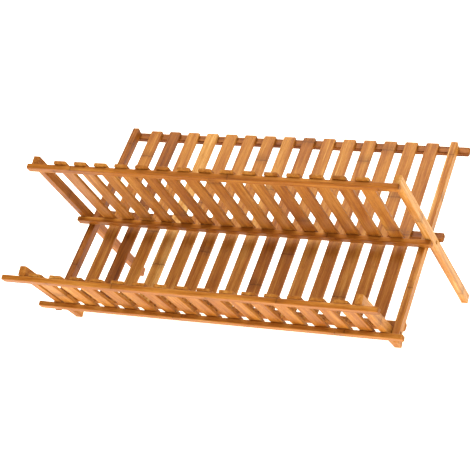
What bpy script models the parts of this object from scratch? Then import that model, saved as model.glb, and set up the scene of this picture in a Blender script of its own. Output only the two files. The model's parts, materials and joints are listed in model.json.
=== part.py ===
# Folding two-tier dish drying rack: three slatted bamboo frames hinged about lengthwise dowels.
# +X runs along the rack, +Y to its back, +Z up, and the floor is z = 0. Metres throughout.
from math import cos, pi, radians, sin

import bmesh
import bpy
from mathutils import Matrix, Vector

for old in list(bpy.data.objects):
    bpy.data.objects.remove(old, do_unlink=True)

# ---- driving dimensions ----
MM = 0.001
STILE_W, STILE_D = 10 * MM, 14 * MM    # stile and leg section: across the rack, and through the frame
RAIL_W, RAIL_T = 13 * MM, 7.4 * MM     # rail section
SLAT_W, SLAT_T = 19.3 * MM, 4.4 * MM   # slat section
SLATS, PITCH = 15, 32 * MM
SLAT_SHIFT = {"long": -1.4 * MM, "leaf": -0.6 * MM, "low": -1.9 * MM}   # each row of slats sits a little left
GAP = 0.3 * MM                         # between a rail and what is nailed to it
LONG_OUT = 262.5 * MM                  # half width over the long frame's stiles
LEAF_OUT = 273.5 * MM                  # half width over the upper leaf's legs
RAIL_OUT = 278 * MM                    # far end of each rail that runs past the stiles or legs
LOW_OUT = 251.5 * MM                   # half width over the lower leaf's stiles
LONG_TILT, LEAF_TILT, LOW_TILT = radians(37.7), radians(38.5), radians(34.0)
HINGE_Y = 42.75 * MM                   # the main hinge line, back from the middle of the rack's depth
LOW_PIVOT = 156.4 * MM                 # the lower hinge line, down the long frame from the main one
LONG_TOP, LONG_SLAT_TOP, LONG_END = 180 * MM, 184 * MM, 167.4 * MM
LEAF_TOP, LEAF_SLAT_TOP, LEAF_FOOT = 188 * MM, 196 * MM, 197 * MM
LOW_TOP, LOW_SLAT_TOP = 136 * MM, 135 * MM
TOP_RAIL = {"long": 183.3 * MM, "leaf": 193 * MM, "low": 135.5 * MM}   # upper edge of each top rail
MID_EDGE = 11.2 * MM                   # lower edge of both mid rails, where the open leaf stops
BACK_EDGE = 12.6 * MM                  # lower edge of the long frame's bottom rail above the lower hinge
FRONT_EDGE = 10.5 * MM                 # lower edge of the lower leaf's bottom rail: its stop
TREAD = 1.2 * MM                       # worn flat under each foot's corner
PIN_R, PIN_CLEAR, PIN_INSET = 2.5 * MM, 0.06 * MM, 0.4 * MM
HALF = STILE_D / 2

BAMBOO = {"slat": ((0.53, 0.235, 0.065), 0.45), "frame": ((0.50, 0.215, 0.058), 0.45),
          "dowel": ((0.40, 0.19, 0.07), 0.6)}

# ---- materials and collections ----
materials = {}
for key, (colour, roughness) in BAMBOO.items():
    made = bpy.data.materials.new("bamboo_" + key)
    made.use_nodes = True
    shader = made.node_tree.nodes["Principled BSDF"]
    shader.inputs["Base Color"].default_value = (*colour, 1)
    shader.inputs["Roughness"].default_value = roughness
    shader.inputs["Metallic"].default_value = 0
    made.diffuse_color = (*colour, 1)
    materials[key] = made

rack = bpy.data.collections.new("dish_drying_rack")
cutters = bpy.data.collections.new("cutters")
for collection in (rack, cutters):
    bpy.context.scene.collection.children.link(collection)


def add(name, form, collection, key=None):
    mesh = bpy.data.meshes.new(name)
    form.to_mesh(mesh)
    form.free()
    obj = bpy.data.objects.new(name, mesh)
    collection.objects.link(obj)
    if key:
        mesh.materials.append(materials[key])
    else:
        obj.hide_render, obj.display_type = True, "WIRE"
    return obj


def bar(name, frame, size, at, corner, edge, key, steps=2):
    """A planed bar. Its four corners about local Z are rounded, then its long edges are eased."""
    form = bmesh.new()
    bmesh.ops.create_cube(form, size=1, matrix=Matrix.Diagonal((*size, 1)))
    for radius, segments, upright in ((corner, steps, True), (edge, 1, False)):
        picked = [e for e in form.edges if (abs(e.verts[0].co.z - e.verts[1].co.z) > 1e-5) == upright]
        bmesh.ops.bevel(form, geom=picked, offset=radius, segments=segments, profile=0.5,
                        affect="EDGES", material=-1)
    bmesh.ops.recalc_face_normals(form, faces=form.faces)
    obj = add(name, form, rack, key)
    obj.parent, obj.location = frame, at
    return obj


def dowel(name, frame, x, y, length, radius, key=None):
    """A round dowel about local X, or its hole's cutter where no material is given."""
    form = bmesh.new()
    bmesh.ops.create_cone(form, cap_ends=True, segments=20, radius1=radius, radius2=radius,
                          depth=length, matrix=Matrix.Rotation(pi / 2, 4, "Y"))
    obj = add(name, form, rack if key else cutters, key)
    obj.parent, obj.location = frame, (x, y, 0)
    return obj


def combine(obj, other, operation):
    modifier = obj.modifiers.new(other.name, "BOOLEAN")
    modifier.object, modifier.operation, modifier.solver = other, operation, "EXACT"


def tread(obj, tilt, hinge_height):
    """Cuts a foot level with the floor, in the bar's own axes."""
    up = Vector((0, sin(tilt), -cos(tilt)))
    form = bmesh.new()
    form.from_mesh(obj.data)
    made = bmesh.ops.bisect_plane(form, geom=[*form.verts, *form.edges, *form.faces], dist=1e-7,
                                  plane_co=-up * hinge_height - Vector(obj.location), plane_no=up,
                                  clear_inner=True)
    bmesh.ops.holes_fill(form, edges=[g for g in made["geom_cut"] if isinstance(g, bmesh.types.BMEdge)],
                         sides=0)
    bmesh.ops.recalc_face_normals(form, faces=form.faces)
    form.to_mesh(obj.data)
    form.free()


def slats(prefix, frame, top, bottom, side, shift):
    """Slats on the rails' inner faces. side is the frame face that the rails lie on."""
    for i in range(SLATS):
        bar(f"{prefix}_slat_{i + 1:02d}", frame, (SLAT_W, top - bottom, SLAT_T),
            ((i - (SLATS - 1) / 2) * PITCH + shift, (top + bottom) / 2, side * (HALF - SLAT_T / 2)),
            2.2 * MM, 0.7 * MM, "slat")


def rail(name, frame, left, right, upper, side):
    bar(name, frame, (right - left, RAIL_W, RAIL_T),
        ((left + right) / 2, upper - RAIL_W / 2, side * (HALF + GAP + RAIL_T / 2)),
        3.0 * MM, 1.5 * MM, "frame")


def stiles(prefix, frame, outer, top, bottom):
    return [bar(f"{prefix}_{hand}", frame, (STILE_W, top + bottom, STILE_D),
                (sign * (outer - STILE_W / 2), (top - bottom) / 2, 0), 0.9 * MM, 0.9 * MM, "frame", 1)
            for hand, sign in (("left", -1), ("right", 1))]


# ---- hinge lines: each frame hangs from an empty, whose local Y runs up the frame ----
main_height = LEAF_FOOT * sin(LEAF_TILT) + HALF * cos(LEAF_TILT) - TREAD
low_height = main_height - LOW_PIVOT * sin(LONG_TILT)
low_foot = (low_height - HALF * cos(LOW_TILT) + TREAD) / sin(LOW_TILT)
frames = {}
for key, y, z, turn in (("long", HINGE_Y, main_height, LONG_TILT),
                        ("leaf", HINGE_Y, main_height, pi - LEAF_TILT),
                        ("low", HINGE_Y - LOW_PIVOT * cos(LONG_TILT), low_height, pi - LOW_TILT)):
    frames[key] = bpy.data.objects.new(key + "_frame_axis", None)
    frames[key].location, frames[key].rotation_euler = (0, y, z), (turn, 0, 0)
    rack.objects.link(frames[key])
long_frame, leaf, low = frames["long"], frames["leaf"], frames["low"]

# ---- long frame: front foot to back top, with its three rails underneath ----
long_stiles = stiles("long_frame_stile", long_frame, LONG_OUT, LONG_TOP, LONG_END)
slats("long_frame", long_frame, LONG_SLAT_TOP, BACK_EDGE - LOW_PIVOT - 1 * MM, -1, SLAT_SHIFT["long"])
rail("long_frame_top_rail", long_frame, -LONG_OUT, RAIL_OUT, TOP_RAIL["long"], -1)
rail("long_frame_mid_rail", long_frame, -LONG_OUT, RAIL_OUT, MID_EDGE + RAIL_W, -1)
rail("long_frame_bottom_rail", long_frame, -LONG_OUT, LONG_OUT, BACK_EDGE + RAIL_W - LOW_PIVOT, -1)

# ---- upper leaf: slatted above the crossing, with its legs running on down to the back feet ----
legs = stiles("upper_leaf_leg", leaf, LEAF_OUT, LEAF_TOP, LEAF_FOOT)
slats("upper_leaf", leaf, LEAF_SLAT_TOP, MID_EDGE - 1 * MM, 1, SLAT_SHIFT["leaf"])
rail("upper_leaf_top_rail", leaf, -RAIL_OUT, LEAF_OUT, TOP_RAIL["leaf"], 1)
rail("upper_leaf_mid_rail", leaf, -RAIL_OUT, LEAF_OUT, MID_EDGE + RAIL_W, 1)

# ---- lower leaf: the short front leaf, whose stiles run on to the front feet ----
low_stiles = stiles("lower_leaf_stile", low, LOW_OUT, LOW_TOP, low_foot)
slats("lower_leaf", low, LOW_SLAT_TOP, FRONT_EDGE - 1 * MM, 1, SLAT_SHIFT["low"])
rail("lower_leaf_top_rail", low, -RAIL_OUT, LEAF_OUT, TOP_RAIL["low"], 1)
rail("lower_leaf_bottom_rail", low, -RAIL_OUT, LEAF_OUT, FRONT_EDGE + RAIL_W, 1)

for obj in legs:
    tread(obj, LEAF_TILT, main_height)
for obj in low_stiles:
    tread(obj, LOW_TILT, low_height)

# ---- hinge dowels: two loose ones at the crossing; the lower pair is glued into the lower leaf ----
for sign, hand, long_stile, leg, low_stile in zip((-1, 1), ("left", "right"), long_stiles, legs, low_stiles):
    inner, outer = LONG_OUT - STILE_W + PIN_INSET, LEAF_OUT - PIN_INSET
    dowel(f"main_hinge_dowel_{hand}", long_frame, sign * (inner + outer) / 2, 0, outer - inner,
          PIN_R, "dowel")
    for name, frame, obj, y in (("long_main", long_frame, long_stile, 0), ("leg_main", leaf, leg, 0),
                                ("long_low", long_frame, long_stile, -LOW_PIVOT)):
        x = LEAF_OUT if obj is leg else LONG_OUT
        combine(obj, dowel(f"{name}_hole_{hand}", frame, sign * (x - STILE_W / 2), y,
                           STILE_W + 4 * MM, PIN_R + PIN_CLEAR), "DIFFERENCE")
    inner, outer = LOW_OUT - STILE_W / 2, LONG_OUT - 1.2 * MM
    combine(low_stile, dowel(f"low_hinge_dowel_{hand}", low, sign * (inner + outer) / 2, 0,
                             outer - inner, PIN_R), "UNION")
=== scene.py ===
import json
import random
from math import floor, pi, radians

import bmesh
import bpy
from mathutils import Matrix, Vector


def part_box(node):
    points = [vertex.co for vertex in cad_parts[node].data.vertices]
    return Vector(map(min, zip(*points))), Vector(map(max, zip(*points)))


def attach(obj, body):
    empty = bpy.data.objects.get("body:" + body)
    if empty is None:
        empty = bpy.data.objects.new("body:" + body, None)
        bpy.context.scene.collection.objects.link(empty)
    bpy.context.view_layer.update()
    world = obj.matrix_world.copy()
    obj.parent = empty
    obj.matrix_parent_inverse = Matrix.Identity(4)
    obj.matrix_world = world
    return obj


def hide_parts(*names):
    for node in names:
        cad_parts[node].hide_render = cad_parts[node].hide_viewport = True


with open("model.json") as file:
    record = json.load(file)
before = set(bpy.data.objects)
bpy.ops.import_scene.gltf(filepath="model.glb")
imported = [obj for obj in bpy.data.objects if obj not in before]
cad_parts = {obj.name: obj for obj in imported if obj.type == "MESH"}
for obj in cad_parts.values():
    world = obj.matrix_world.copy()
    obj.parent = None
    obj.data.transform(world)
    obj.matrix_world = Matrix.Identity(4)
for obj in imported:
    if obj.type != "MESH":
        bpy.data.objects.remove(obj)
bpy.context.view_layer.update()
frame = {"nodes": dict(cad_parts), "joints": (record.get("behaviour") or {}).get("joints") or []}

# ---- stiles of the long frame ----
# Two square-planed bamboo bars, laminated from strips, that run from the front edge up to the back.
# Each is bored twice: at the crossing for the main dowel, and near its lower end for the front leaf's.
MM = 0.001
STILE_ROUND, STILE_STEPS = 0.9 * MM, 3       # eased arrises of stiles and legs
STILE_WIDTH = 10 * MM
BORE = 3.15 * MM                             # radius of the hinge holes, a loose fit on the dowels
ROUND_SIDES = 36                             # sides of a hinge hole, and of the dowel in it
LONG_LEAN, UPPER_LEAN, LOWER_LEAN = radians(37.7), radians(38.5), radians(34)
STICK_STRIP, STICK_KNUCKLES = 7 * MM, 0.24   # width of a glued strip, and knuckle to knuckle along it

# Each frame's own axes: X along the rack, Y up the frame, Z through it, from its hinge line.
hinge_of = {joint["child"]: Vector(joint["pos_m"]) for joint in frame["joints"]}
main_hinge, lower_hinge = hinge_of["upper_leaf"], hinge_of["lower_leaf"]
axes = {body: Matrix.Translation(hinge) @ Matrix.Rotation(turn, 4, "X")
        for body, hinge, turn in (("long_frame", main_hinge, LONG_LEAN),
                                  ("upper_leaf", main_hinge, pi - UPPER_LEAN),
                                  ("lower_leaf", lower_hinge, pi - LOWER_LEAN))}
draw = random.Random(20)


class Signal:
    """A shader socket that takes part in arithmetic: each operator adds its Math node."""

    def __init__(self, nodes, socket):
        self.nodes, self.socket = nodes, socket

    def maths(self, operation, first, second=0.0, clamp=False):
        return self.nodes.node("ShaderNodeMath", {"operation": operation, "use_clamp": clamp},
                               {0: first, 1: second})

    def __add__(self, other):
        return self.maths("ADD", self, other)

    def __radd__(self, other):
        return self.maths("ADD", other, self)

    def __sub__(self, other):
        return self.maths("SUBTRACT", self, other)

    def __rsub__(self, other):
        return self.maths("SUBTRACT", other, self)

    def __mul__(self, other):
        return self.maths("MULTIPLY", self, other)

    def __rmul__(self, other):
        return self.maths("MULTIPLY", other, self)

    def __truediv__(self, other):
        return self.maths("DIVIDE", self, other)

    def __abs__(self):
        return self.maths("ABSOLUTE", self)

    def __floor__(self):
        return self.maths("FLOOR", self)

    def clamped(self):
        return self.maths("ADD", self, 0.0, clamp=True)


class Nodes:
    """A node tree and the shader at its end. node() adds any node: its settings first, then its sockets."""

    def __init__(self, tree, shader):
        self.tree, self.shader = tree, tree.nodes[shader]

    def node(self, kind, settings=None, sockets=None, out=0):
        made = self.tree.nodes.new(kind)
        for key, value in (settings or {}).items():
            if key == "stops":
                ramp = made.color_ramp.elements
                while len(ramp) < len(value):
                    ramp.new(1.0)
                for stop, (position, colour) in zip(ramp, value):
                    stop.position, stop.color = position, (*colour, 1)
            else:
                setattr(made, key, value)
        for key, value in (sockets or {}).items():
            if isinstance(value, Signal):
                self.tree.links.new(value.socket, made.inputs[key])
            else:
                made.inputs[key].default_value = value
        return Signal(self, made.outputs[out])

    def feed(self, label, signal):
        self.tree.links.new(signal.socket, self.shader.inputs[label])

    def parts(self, vector):
        """The three numbers of a vector."""
        return [self.node("ShaderNodeSeparateXYZ", None, {0: vector}, out) for out in range(3)]

    def near(self, distance, reach):
        """1 at no distance, falling smoothly to 0 at reach."""
        return self.node("ShaderNodeMapRange", {"interpolation_type": "SMOOTHSTEP"},
                         {"Value": abs(distance), "From Max": reach, "To Min": 1.0, "To Max": 0.0})

    def mixed(self, factor, first, second):
        return self.node("ShaderNodeMix", {"data_type": "RGBA"}, {0: factor, 6: first, 7: second}, 2)


class Finish(Nodes):
    """A material. Its keywords are the shader's constants, such as Coat_Weight."""

    def __init__(self, name, **constants):
        self.material = bpy.data.materials.new(name)
        self.material.use_nodes = True
        super().__init__(self.material.node_tree, "Principled BSDF")
        for label, value in constants.items():
            self.shader.inputs[label.replace("_", " ")].default_value = value


def bamboo(name, stops, strip, knuckle_gap, roughness):
    """Carbonised bamboo, satin with oil. The grain attribute says where in the stick a point is: along,
    across and through, in metres. The stick attribute holds its tone, phase and whether it is cut; on
    some stiles, legs and rails that tone is partly painted shade or painted light."""
    wood = Finish(name, Coat_Weight=0.02, Coat_Roughness=0.35, Specular_IOR_Level=0.1)
    along, across, through = wood.parts(
        wood.node("ShaderNodeAttribute", {"attribute_name": "grain"}, out="Vector"))
    tone_and_shade, phase, cut_end = wood.parts(
        wood.node("ShaderNodeAttribute", {"attribute_name": "stick"}, out="Vector"))

    # Each glued strip is its own stalk, so tone and knuckles jump at the glue line.
    layer = floor(across / strip)
    stalk = wood.node("ShaderNodeTexWhiteNoise", {"noise_dimensions": "1D"}, {"W": layer + phase * 31.0})
    shift = layer * 1.37 + phase

    def noise(x, y, z, **sockets):
        spot = wood.node("ShaderNodeCombineXYZ", None, {0: x, 1: y, 2: z})
        return wood.node("ShaderNodeTexNoise", {"noise_dimensions": "3D"},
                         {"Vector": spot, "Scale": 1.0, **sockets})

    def streaks(length, width, detail, offset=0.0):
        """Noise drawn out along the stick, in streaks of this length and width."""
        return noise(along / length + shift + offset, across / width, through / width,
                     Detail=detail, Roughness=0.55)

    broad = streaks(110 * MM, 5.5 * MM, 1.0)
    fibre = streaks(35 * MM, 1.1 * MM, 2.0, 7.0)
    fine = streaks(14 * MM, 0.38 * MM, 1.0, 13.0)
    vessels = (streaks(6 * MM, 0.5 * MM, 0.0, 19.0) * 9.0 - 5.7).clamped()

    # A knuckle crosses the whole stalk in a slightly wavy line, with a brown halo to one side of it.
    wander = noise(shift, across / (6 * MM), through / (6 * MM), Detail=1.0)
    reach = (along + wander * 3.5 * MM) / knuckle_gap + stalk + phase * 3.0
    beside = (reach - floor(reach) - 0.5) * knuckle_gap
    knuckle = wood.near(beside, 1.6 * MM)
    halo = wood.near(beside - 3 * MM, 14 * MM)
    glue = wood.near(strip / 2 - abs(across / strip - layer - 0.5) * strip, 0.28 * MM)

    # Each stick's shift in tone moves it along the ramp; on some stiles, legs and rails it is partly
    # painted shade or painted light.
    tone = (0.5 + (broad - 0.5) * 0.75 + (fibre - 0.5) * 0.62 + (fine - 0.5) * 0.3
            + (stalk - 0.5) * 0.16 + tone_and_shade * 0.5).clamped()
    colour = wood.node("ShaderNodeValToRGB", {"stops": stops}, {0: tone})
    darkest = (*[channel * 0.55 for channel in stops[0][1]], 1)
    shade = (knuckle * 0.45 + halo * 0.26 + vessels * 0.36 + glue * 0.18 + cut_end * fine * 0.25).clamped()
    wood.feed("Base Color", wood.mixed(shade, colour, darkest))
    wood.feed("Roughness", (roughness + (fibre - 0.5) * 0.22 + vessels * 0.12 + cut_end * 0.2).clamped())
    height = fibre * 0.5 + fine * 0.5 - vessels * 0.5 - knuckle * 0.7 - glue * 0.5
    wood.feed("Normal", wood.node("ShaderNodeBump", None,
                                  {"Strength": 0.35, "Distance": 0.16 * MM, "Height": height}))
    return wood.material


stick_bamboo = bamboo("carbonised_bamboo_sticks",
                      [(0.0, (0.15, 0.038, 0.004)), (0.38, (0.335, 0.107, 0.011)),
                       (0.66, (0.49, 0.205, 0.036)), (1.0, (0.72, 0.45, 0.18))],
                      strip=STICK_STRIP, knuckle_gap=STICK_KNUCKLES, roughness=0.42)


def span(node, body):
    """Lowest and highest corner of a CAD node in its frame's own axes."""
    back = axes[body].inverted()
    points = [back @ vertex.co for vertex in frame["nodes"][node].data.vertices]
    return Vector(map(min, zip(*points))), Vector(map(max, zip(*points)))


def planed_bar(low, high, corner, edge, steps):
    """A planed stick in its frame's own axes: corners rounded about Z, then every arris eased."""
    form = bmesh.new()
    bmesh.ops.create_cube(form, size=1, matrix=Matrix.Translation((low + high) / 2)
                          @ Matrix.Diagonal((*(high - low), 1)))
    for radius, upright in ((corner, True), (edge, False)):
        picked = [e for e in form.edges
                  if (abs(e.verts[0].co.z - e.verts[1].co.z) > 0.01 * MM) == upright]
        bmesh.ops.bevel(form, geom=picked, offset=radius, segments=steps, profile=0.5,
                        affect="EDGES", material=-1)
    for face in form.faces:
        flat = max(map(abs, face.normal)) > 0.999
        face.smooth = not flat
    return form


def stand_on_floor(form):
    """Wears a foot's corner flat where it meets the floor, once the stick is in place."""
    cut = bmesh.ops.bisect_plane(form, geom=[*form.verts, *form.edges, *form.faces], dist=1e-7,
                                 plane_co=(0, 0, 0), plane_no=(0, 0, 1), clear_inner=True)
    rim = [part for part in cut["geom_cut"] if isinstance(part, bmesh.types.BMEdge)]
    bmesh.ops.holes_fill(form, edges=rim, sides=0)
    bmesh.ops.recalc_face_normals(form, faces=form.faces)


def settled(form, name):
    """Ends a bmesh as a named object in the scene."""
    mesh = bpy.data.meshes.new(name)
    form.to_mesh(mesh)
    form.free()
    piece = bpy.data.objects.new(name, mesh)
    bpy.context.scene.collection.objects.link(piece)
    return piece


def round_bar(radius, length, middle, hinge):
    """A plain round bar along the rack, on a hinge line."""
    form = bmesh.new()
    bmesh.ops.create_cone(form, cap_ends=True, segments=ROUND_SIDES, radius1=radius, radius2=radius,
                          depth=length, matrix=Matrix.Translation((middle, hinge.y, hinge.z))
                          @ Matrix.Rotation(pi / 2, 4, "Y"))
    return form


def bored(stick, hinge, middle):
    """Cuts a round hinge hole right through a stick, along the rack."""
    bit = settled(round_bar(BORE, STILE_WIDTH + 6 * MM, middle, hinge), "bore")
    cut = stick.modifiers.new("bore", "BOOLEAN")
    cut.object, cut.operation, cut.solver = bit, "DIFFERENCE", "EXACT"
    graph = bpy.context.evaluated_depsgraph_get()
    drilled = bpy.data.meshes.new_from_object(stick.evaluated_get(graph))
    stick.modifiers.clear()
    stick.data = drilled
    bpy.data.objects.remove(bit)


def mark_grain(stick, body, run, tone_and_shade):
    """Gives each point its place in the stick, and the stick its tone and knuckles; on some stiles, legs
    and rails that tone is partly painted shade or painted light. Grain that runs "up" follows the frame's
    slope, and grain that runs "along" follows the rack."""
    mesh, back = stick.data, axes[body].inverted()
    offset = Vector((draw.uniform(0, 3), draw.uniform(0, 0.4), draw.uniform(0, 0.4)))
    phase = draw.random()
    middle = sum((back @ Vector(corner) for corner in stick.bound_box), Vector()) / 8
    order = (1, 0, 2) if run == "up" else (0, 1, 2)
    grain = mesh.attributes.new("grain", "FLOAT_VECTOR", "POINT")
    for vertex, value in zip(mesh.vertices, grain.data):
        here = back @ vertex.co - middle
        value.vector = Vector([here[i] for i in order]) + offset
    kind = mesh.attributes.new("stick", "FLOAT_VECTOR", "FACE")
    turn = back.to_3x3()
    for face, value in zip(mesh.polygons, kind.data):
        cut_end = abs((turn @ face.normal)[order[0]]) > 0.75
        value.vector = (tone_and_shade, phase, float(cut_end))


def place_stick(node, form, run, material, slot, tone_and_shade, feet=False, holes=()):
    """Turns a stick into place, drills it, marks its grain, and lets it stand for its CAD node."""
    body = next(name for name in axes if node.startswith(name))
    form.transform(axes[body])
    if feet:
        stand_on_floor(form)
    piece = settled(form, node + "_bamboo")
    for hinge, middle in holes:
        bored(piece, hinge, middle)
    mark_grain(piece, body, run, tone_and_shade)
    piece.data.materials.clear()
    piece.data.materials.append(material)
    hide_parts(node)
    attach(piece, body)


def set_stile(node, low, high, tone_and_shade, **more):
    """A stile or a leg between two corners in its frame's own axes."""
    place_stick(node, planed_bar(low, high, STILE_ROUND, STILE_ROUND, STILE_STEPS), "up",
                stick_bamboo, "bamboo_frame", tone_and_shade, **more)


# Painted shade darkens the left stile and painted light lightens the right one, as the key lamp stands to
# the right.
for hand, tint_and_shade in (("left", -0.65), ("right", 0.15)):
    node = f"long_frame_stile_{hand}"
    low, high = span(node, "long_frame")
    set_stile(node, low, high, tint_and_shade,
              holes=[(hinge, (low.x + high.x) / 2) for hinge in (main_hinge, lower_hinge)])

# ---- rails of the long frame ----
# Three flat bamboo rails lie across the underside of the stiles, and the slats are nailed to them. The
# upper two run past the right stile by a leg's width: the middle one is the open upper leaf's stop.
RAIL_CORNER, RAIL_ROUND, RAIL_STEPS = 3.0 * MM, 1.5 * MM, 5


def lay_rails(body, tints_and_shade):
    for rail, tint_and_shade in tints_and_shade.items():
        node = f"{body}_{rail}_rail"
        place_stick(node, planed_bar(*span(node, body), RAIL_CORNER, RAIL_ROUND, RAIL_STEPS), "along",
                    stick_bamboo, "bamboo_frame", tint_and_shade)


# The long frame's rails are darkened: partly their own darker tone, partly painted shade for where they lie
# in shadow under the frame.
lay_rails("long_frame", {"top": -0.7, "mid": -0.65, "bottom": -0.15})

# ---- slats of the long frame ----
# Fifteen thin bamboo slats lie on the rails between the stiles. Each is one stalk's split strip, planed
# and oiled, so no two match: the fourth came out pale, the second and a few others dark.
SLAT_CORNER, SLAT_ROUND, SLAT_STEPS = 2.2 * MM, 0.7 * MM, 4
SLATS = range(1, 16)
WHOLE_STALK = 1.0                            # a strip wider than any stick, so it shows no glue line
slat_bamboo = bamboo("carbonised_bamboo_slats",
                     [(0.0, (0.13, 0.032, 0.003)), (0.38, (0.31, 0.097, 0.010)),
                      (0.66, (0.46, 0.188, 0.029)), (1.0, (0.68, 0.40, 0.12))],
                     strip=WHOLE_STALK, knuckle_gap=0.27, roughness=0.4)


def lay_slats(body, tints_and_shade):
    for i in SLATS:
        node = f"{body}_slat_{i:02d}"
        tint_and_shade = tints_and_shade.get(i, 0.0) + draw.uniform(-0.08, 0.08)
        place_stick(node, planed_bar(*span(node, body), SLAT_CORNER, SLAT_ROUND, SLAT_STEPS), "up",
                    slat_bamboo, "bamboo_slat", tint_and_shade)


lay_slats("long_frame", {1: -0.2, 2: -0.75, 4: 0.55, 5: 0.2, 6: -0.1, 9: -0.1, 11: 0.1, 12: 0.1,
                         14: -0.1, 15: -0.1})

# ---- upper leaf ----
# The hinged upper leaf straddles the long frame. Its two legs run on past the crossing as the back
# feet, sawn square and worn flat at the corner; two rails lie on their outer side, and the slats inside.
# Painted shade darkens the left leg and painted light lightens the right one, as the key lamp stands to the
# right.
for hand, tint_and_shade in (("left", -0.2), ("right", 0.3)):
    node = f"upper_leaf_leg_{hand}"
    low, high = span(node, "upper_leaf")
    set_stile(node, low, high, tint_and_shade, feet=True, holes=[(main_hinge, (low.x + high.x) / 2)])
lay_rails("upper_leaf", {"top": -0.25, "mid": -0.25})
lay_slats("upper_leaf", {5: -0.1, 8: 0.1, 12: -0.1})

# ---- lower leaf ----
# The short front leaf hangs inside the long frame's stiles, and its own stiles run on as the front
# feet. Its two rails are as long as the upper leaf's, and lie on its outer side too.
for hand, tint_and_shade in (("left", 0.0), ("right", 0.1)):
    node = f"lower_leaf_stile_{hand}"
    low, high = span(node, "lower_leaf")
    # the CAD node holds the hinge dowel too, which sticks out past the stile's outer face
    if hand == "left":
        low.x = high.x - STILE_WIDTH
    else:
        high.x = low.x + STILE_WIDTH
    set_stile(node, low, high, tint_and_shade, feet=True)
# The bottom rail is darkened as painted shade on its shaded underside.
lay_rails("lower_leaf", {"top": -0.25, "bottom": -0.15})
lay_slats("lower_leaf", {2: 0.15, 4: -0.1, 10: 0.1})

# ---- hinge dowels ----
# Round bamboo dowels, chamfered and tapped in. The main pair join stile and leg at the crossing; the
# lower pair are glued into the front leaf's stiles. Their ends stop short of the outer faces.
DOWEL, CHAMFER = 2.5 * MM, 0.35 * MM
MAIN_RECESS, LOWER_RECESS, LOWER_GRIP = 1.3 * MM, 1.4 * MM, 4 * MM
dowel_bamboo = bamboo("turned_bamboo_dowels",
                      [(0.0, (0.14, 0.04, 0.008)), (0.4, (0.33, 0.115, 0.025)),
                       (0.7, (0.48, 0.20, 0.055)), (1.0, (0.66, 0.36, 0.13))],
                      strip=WHOLE_STALK, knuckle_gap=0.3, roughness=0.55)


def turned_dowel(name, body, hinge, inner, outer):
    """A dowel along the rack, between two distances from the middle on one side."""
    form = round_bar(DOWEL, abs(outer - inner), (inner + outer) / 2, hinge)
    rims = [e for e in form.edges if abs(e.verts[0].co.x - e.verts[1].co.x) < 0.001 * MM]
    bmesh.ops.bevel(form, geom=rims, offset=CHAMFER, segments=3, profile=0.5, affect="EDGES", material=-1)
    for face in form.faces:
        face.smooth = abs(face.normal.x) < 0.999
    piece = settled(form, name)
    mark_grain(piece, body, "along", -0.1)
    piece.data.materials.append(dowel_bamboo)
    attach(piece, body)
    return piece


for hand, side in (("left", -1), ("right", 1)):
    stile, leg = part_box(f"long_frame_stile_{hand}"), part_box(f"upper_leaf_leg_{hand}")
    stile_inner, stile_outer = sorted(abs(corner.x) for corner in stile)
    leg_outer = max(abs(corner.x) for corner in leg)
    dowel = turned_dowel(f"main_dowel_{hand}", "long_frame", main_hinge,
                         side * (stile_inner + MAIN_RECESS), side * (leg_outer - MAIN_RECESS))
    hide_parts(f"main_hinge_dowel_{hand}")
    turned_dowel(f"lower_dowel_{hand}", "lower_leaf", lower_hinge,
                 side * (stile_inner - LOWER_GRIP), side * (stile_outer - LOWER_RECESS))

# ---- brads ----
# Thin steel brads pin each slat to every rail it crosses, two side by side, and each rail to the stiles
# or legs. Their small heads have browned under the oil.
HEAD, HEAD_RISE, PAIR = 0.62 * MM, 0.05 * MM, 4.2 * MM
UNDER, OUTSIDE = -1, 1                       # the face of a frame that its rails lie on
steel = Finish("browned_steel", Metallic=0.4, Roughness=0.5)
patches = steel.node("ShaderNodeTexNoise", None,
                     {"Vector": steel.node("ShaderNodeTexCoord", out="Object"), "Scale": 900.0})
steel.feed("Base Color", steel.mixed(patches, (0.025, 0.012, 0.006, 1), (0.11, 0.06, 0.035, 1)))


def drive_brads(body, rails, rail_face, bars):
    """Slat brads go in from the slats' side, and those of the stiles or legs from the rails' side."""
    form = bmesh.new()

    def head(x, y, z, faces_up):
        bmesh.ops.create_cone(form, cap_ends=True, segments=10, radius1=HEAD, radius2=0.8 * HEAD,
                              depth=2 * HEAD_RISE,
                              matrix=axes[body] @ Matrix.Translation((x, y, z))
                              @ Matrix.Rotation(0 if faces_up else pi, 4, "X"))

    outside = rail_face == OUTSIDE
    for rail in rails:
        rail_low, rail_high = span(f"{body}_{rail}_rail", body)
        y = (rail_low.y + rail_high.y) / 2
        for i in SLATS:
            low, high = span(f"{body}_slat_{i:02d}", body)
            for x in (-PAIR, PAIR):
                head((low.x + high.x) / 2 + x, y, low.z if outside else high.z, not outside)
        for hand, side in (("left", -1), ("right", 1)):
            inner = min(abs(corner.x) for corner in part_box(f"{body}_{bars}_{hand}"))
            head(side * (inner + STILE_WIDTH / 2), y, rail_high.z if outside else rail_low.z, outside)
    piece = settled(form, f"{body}_brads")
    piece.data.materials.append(steel.material)
    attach(piece, body)


drive_brads("long_frame", ("top", "mid", "bottom"), UNDER, "stile")
drive_brads("upper_leaf", ("top", "mid"), OUTSIDE, "leg")
drive_brads("lower_leaf", ("top", "bottom"), OUTSIDE, "stile")

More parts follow.
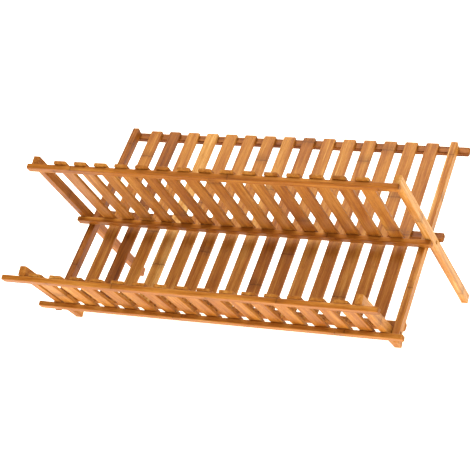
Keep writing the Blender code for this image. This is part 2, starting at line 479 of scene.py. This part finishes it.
# ---- floor ----
# A plain white studio table, lit from within like a light box. It throws a warm light up on the
# undersides, and is bright enough to show no shadow.
form = bmesh.new()
bmesh.ops.create_grid(form, x_segments=1, y_segments=1, size=20)
floor_sheet = settled(form, "floor")
paper = Finish("white_paper", Base_Color=(0.92, 0.92, 0.92, 1), Roughness=0.9,
               Emission_Color=(1, 0.92, 0.74, 1), Emission_Strength=1.2)
floor_sheet.data.materials.append(paper.material)

# ---- light and camera ----
# A white studio with a dim ceiling: pale walls all round, a broad lamp overhead and a soft key from the
# front right. The camera stands at the front right too, a little above the rack.
WALL_LIGHT, CEILING_LIGHT = 1.0, 0.24
WALL_TOP, CEILING_EDGE = 0.1, 0.3            # sine of the height where the wall ends and the ceiling starts
world = bpy.data.worlds.new("studio")
bpy.context.scene.world = world
world.use_nodes = True
room = Nodes(world.node_tree, "Background")
room.shader.inputs["Color"].default_value = (1, 1, 1, 1)
height = room.parts(room.node("ShaderNodeTexCoord", out="Generated"))[2]
room.feed("Strength", room.node("ShaderNodeMapRange", {"interpolation_type": "SMOOTHSTEP"},
                                {"Value": height, "From Min": WALL_TOP, "From Max": CEILING_EDGE,
                                 "To Min": WALL_LIGHT, "To Max": CEILING_LIGHT}))


def soft_light(name, place, size, power):
    lamp = bpy.data.lights.new(name, "AREA")
    lamp.shape, lamp.size, lamp.energy = "DISK", size, power
    obj = bpy.data.objects.new(name, lamp)
    obj.location = place
    obj.rotation_euler = (Vector((0, 0, 0.1)) - Vector(place)).to_track_quat("-Z", "Y").to_euler()
    bpy.context.scene.collection.objects.link(obj)


soft_light("key_light", (2.0, -1.5, 1.5), 1.2, 30)
soft_light("top_light", (-0.2, 0.2, 2.4), 2.4, 84)

CAMERA_PLACE = (0.94177, -2.06536, 0.66715)
CAMERA_TURN, CAMERA_DIP, CAMERA_ROLL = radians(24.764), radians(13.323), radians(-2.031)
lens = bpy.data.cameras.new("camera")
lens.lens, lens.sensor_width = 126.05, 36
camera = bpy.data.objects.new("camera", lens)
camera.matrix_world = (Matrix.Translation(CAMERA_PLACE) @ Matrix.Rotation(CAMERA_TURN, 4, "Z")
                       @ Matrix.Rotation(pi / 2 - CAMERA_DIP, 4, "X")
                       @ Matrix.Rotation(CAMERA_ROLL, 4, "Z"))
bpy.context.scene.collection.objects.link(camera)
bpy.context.scene.camera = camera
bpy.context.scene.view_settings.view_transform = "Standard"
